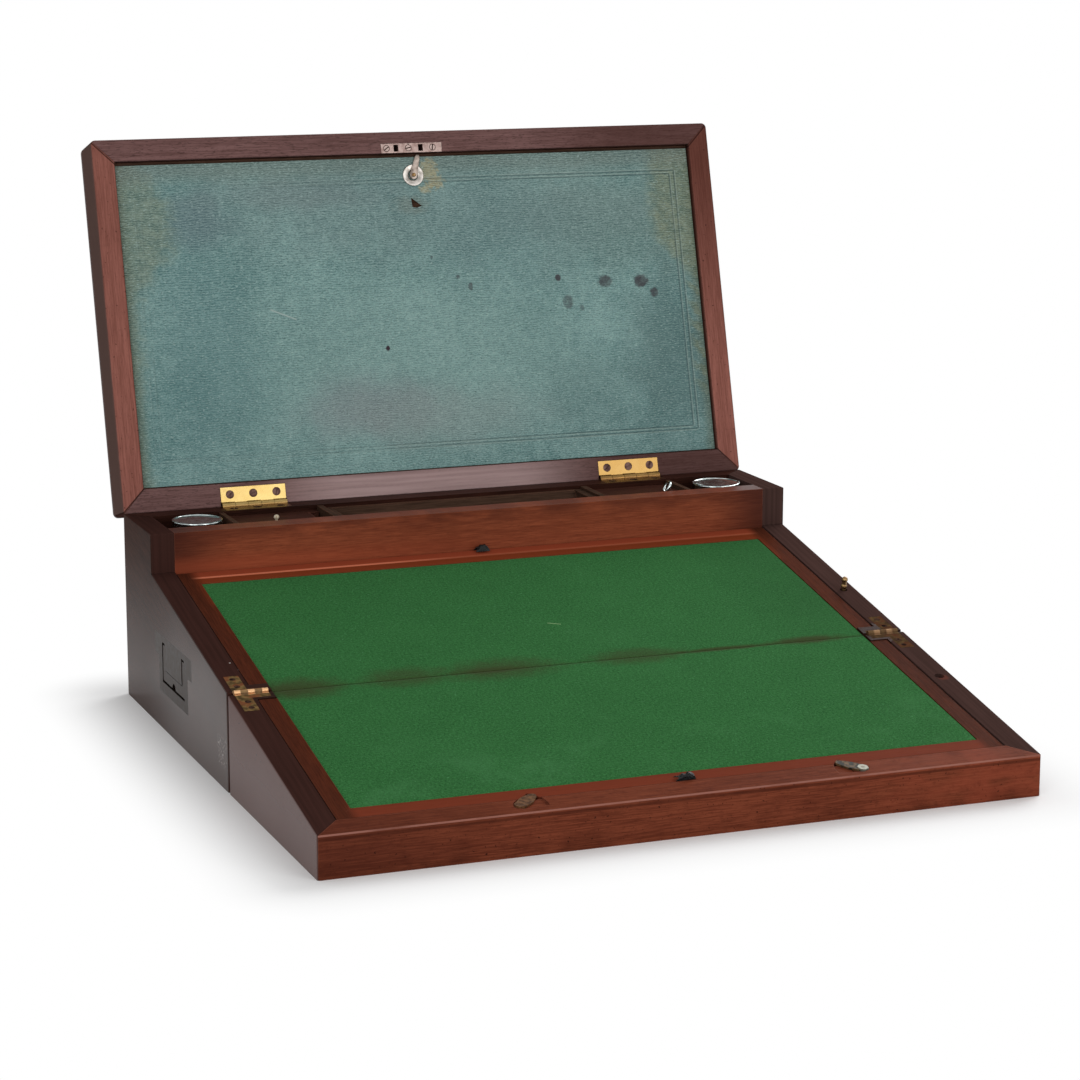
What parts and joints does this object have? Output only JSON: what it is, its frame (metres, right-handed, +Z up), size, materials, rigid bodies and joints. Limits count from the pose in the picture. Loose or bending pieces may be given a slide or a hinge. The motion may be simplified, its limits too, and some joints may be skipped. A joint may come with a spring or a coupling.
{
  "type": "writing slope",
  "caption": "Wooden triple-opening writing slope: folding writing surface in two flaps, raised pen and ink compartment, lid with a hinged panel, side drawer and flush handles.",
  "frame": {"origin": "centre of the rear case's underside, on the surface it stands on", "axes": "+X across the slope to the right as the writer sees it, +Y from the writer to the back, +Z up"},
  "size_m": [0.457, 0.5353, 0.3705],
  "materials": {
    "mahogany_case": "old french polish, dark, satin",
    "mahogany_front": "old french polish, red-brown, satin",
    "mahogany_fascia": "french polish, red, satin",
    "mahogany_lid": "worn polish, rosy brown",
    "mahogany_flap": "french polish, red-brown, satin",
    "interior_wood": "bare mahogany",
    "secondary_pine": "bare",
    "cover_wood": "polished",
    "baize": "green wool baize",
    "leather": "blue-green straight-grain leather, tooled border",
    "tab_leather": "black, creased",
    "brass_polished": "bright",
    "brass_aged": "dull, handled",
    "brass_dark": "blackened",
    "steel_screw": "grey, slotted",
    "link_steel": "worn",
    "lock_iron": "dull",
    "silver": "silver plate, tarnished",
    "glass": "clear"
  },
  "bodies": {
    "rear_case": {"rear_left_side": "mahogany_case", "rear_right_side": "mahogany_case", "rear_back_board": "mahogany_case", "rear_bottom_board": "secondary_pine", "rear_fold_wall": "mahogany_case", "rear_fascia": "mahogany_fascia", "rear_flap_ledges": "interior_wood", "tray_partitions": "interior_wood", "drawer_housing": "secondary_pine", "left_handle_plate": "brass_dark", "case_rim_hinge_leaves": "brass_aged", "case_lid_hinge_leaves": "brass_polished", "hinge_pins": "brass_aged", "case_screws": "steel_screw"},
    "front_case": {"front_left_side": "mahogany_front", "front_right_side": "mahogany_front", "front_rail": "mahogany_front", "front_fold_wall": "mahogany_front", "front_bottom_board": "secondary_pine", "front_flap_ledges": "interior_wood", "front_rim_hinge_leaves": "brass_aged", "front_screws": "steel_screw", "box_lock": "lock_iron"},
    "lock_bolt": {"lock_bolt": "lock_iron"},
    "upper_flap": {"upper_flap_board": "mahogany_flap", "upper_flap_border": "mahogany_flap", "upper_baize": "baize", "upper_pull_tab": "tab_leather"},
    "lower_flap": {"lower_flap_board": "mahogany_flap", "lower_flap_border": "mahogany_flap", "lower_baize": "baize", "lower_pull_tab": "tab_leather"},
    "lid": {"lid_top_board": "mahogany_lid", "lid_stiles": "mahogany_lid", "lid_rails": "mahogany_lid", "lid_link_plate": "link_steel", "lid_hinge_leaves": "brass_polished", "lid_screws": "steel_screw"},
    "lid_panel": {"panel_board": "mahogany_lid", "panel_leather": "leather", "catch_rose": "brass_polished"},
    "panel_catch": {"panel_catch": "brass_polished"},
    "left_flap_catch": {"left_flap_catch": "brass_aged"},
    "right_flap_catch": {"right_flap_catch": "brass_aged"},
    "drawer": {"drawer_front": "mahogany_case", "drawer_sides": "secondary_pine", "drawer_bottom": "secondary_pine", "right_handle_plate": "brass_dark"},
    "left_bail": {"left_bail": "brass_dark"},
    "right_bail": {"right_bail": "brass_dark"},
    "drawer_pin": {"drawer_pin": "brass_aged"},
    "left_ink_bottle": {"left_ink_bottle": "glass"},
    "right_ink_bottle": {"right_ink_bottle": "glass"},
    "left_ink_cap": {"left_ink_cap": "silver"},
    "right_ink_cap": {"right_ink_cap": "silver"},
    "left_cover": {"left_cover": "cover_wood"},
    "right_cover": {"right_cover": "cover_wood"},
    "pen_tray": {"pen_tray": "interior_wood"}
  },
  "joints": [
    {"name": "lid_hinge", "type": "hinge", "parent": "rear_case", "child": "lid", "pos_m": [0, 0.1272, 0.12515], "axis": [1, 0, 0], "range_deg": [0, 105.3]},
    {"name": "slope_fold", "type": "hinge", "parent": "rear_case", "child": "front_case", "pos_m": [0, -0.128, 0.0625], "axis": [-1, 0, 0], "range_deg": [0, 180]},
    {"name": "upper_flap_hinge", "type": "hinge", "parent": "rear_case", "child": "upper_flap", "pos_m": [0, -0.12764, 0.06166], "axis": [-1, 0, 0], "range_deg": [-80, 0]},
    {"name": "lower_flap_hinge", "type": "hinge", "parent": "front_case", "child": "lower_flap", "pos_m": [0, -0.12813, 0.06156], "axis": [1, 0, 0], "range_deg": [-80, 0]},
    {"name": "panel_hinge", "type": "hinge", "parent": "lid", "child": "lid_panel", "pos_m": [0, 0.13519, 0.13976], "axis": [-1, 0, 0], "range_deg": [-40, 0]},
    {"name": "panel_catch_turn", "type": "hinge", "parent": "lid_panel", "child": "panel_catch", "pos_m": [0.0009, 0.18643, 0.34107], "axis": [0, -0.9646, 0.2639], "range_deg": [-73, 0]},
    {"name": "left_flap_catch_turn", "type": "hinge", "parent": "front_case", "child": "left_flap_catch", "pos_m": [-0.1052, -0.30017, 0.02767], "axis": [0, -0.1966, 0.9805], "range_deg": [-36, 0]},
    {"name": "right_flap_catch_turn", "type": "hinge", "parent": "front_case", "child": "right_flap_catch", "pos_m": [0.1119, -0.30115, 0.02747], "axis": [0, 0.1966, -0.9805], "range_deg": [-36, 0]},
    {"name": "drawer_slide", "type": "slide", "parent": "rear_case", "child": "drawer", "axis": [-1, 0, 0], "range_m": [-0.12, 0]},
    {"name": "drawer_pin_slide", "type": "slide", "parent": "rear_case", "child": "drawer_pin", "axis": [0, 0.1966, -0.9805], "range_m": [0, 0.004]},
    {"name": "left_bail_swing", "type": "hinge", "parent": "rear_case", "child": "left_bail", "pos_m": [-0.2267, 0.002, 0.0555], "axis": [0, 1, 0], "range_deg": [0, 85]},
    {"name": "right_bail_swing", "type": "hinge", "parent": "drawer", "child": "right_bail", "pos_m": [0.2267, 0.002, 0.0555], "axis": [0, -1, 0], "range_deg": [0, 85]},
    {"name": "left_ink_bottle_lift", "type": "slide", "parent": "rear_case", "child": "left_ink_bottle", "axis": [0, 0, -1], "range_m": [-0.045, 0]},
    {"name": "right_ink_bottle_lift", "type": "slide", "parent": "rear_case", "child": "right_ink_bottle", "axis": [0, 0, -1], "range_m": [-0.045, 0]},
    {"name": "left_ink_cap_turn", "type": "hinge", "parent": "left_ink_bottle", "child": "left_ink_cap", "pos_m": [-0.1865, 0.093, 0.12], "axis": [0, 0, 1], "range_deg": [-270, 0]},
    {"name": "right_ink_cap_turn", "type": "hinge", "parent": "right_ink_bottle", "child": "right_ink_cap", "pos_m": [0.1924, 0.0895, 0.12], "axis": [0, 0, 1], "range_deg": [-270, 0]},
    {"name": "left_cover_lift", "type": "slide", "parent": "rear_case", "child": "left_cover", "axis": [0, 0, -1], "range_m": [-0.03, 0]},
    {"name": "right_cover_lift", "type": "slide", "parent": "rear_case", "child": "right_cover", "axis": [0, 0, -1], "range_m": [-0.03, 0]},
    {"name": "pen_tray_lift", "type": "slide", "parent": "rear_case", "child": "pen_tray", "axis": [0, 0, -1], "range_m": [-0.03, 0]},
    {"name": "lock_bolt_slide", "type": "slide", "parent": "front_case", "child": "lock_bolt", "axis": [0, 0, -1], "range_m": [0, 0.0045]}
  ]
}
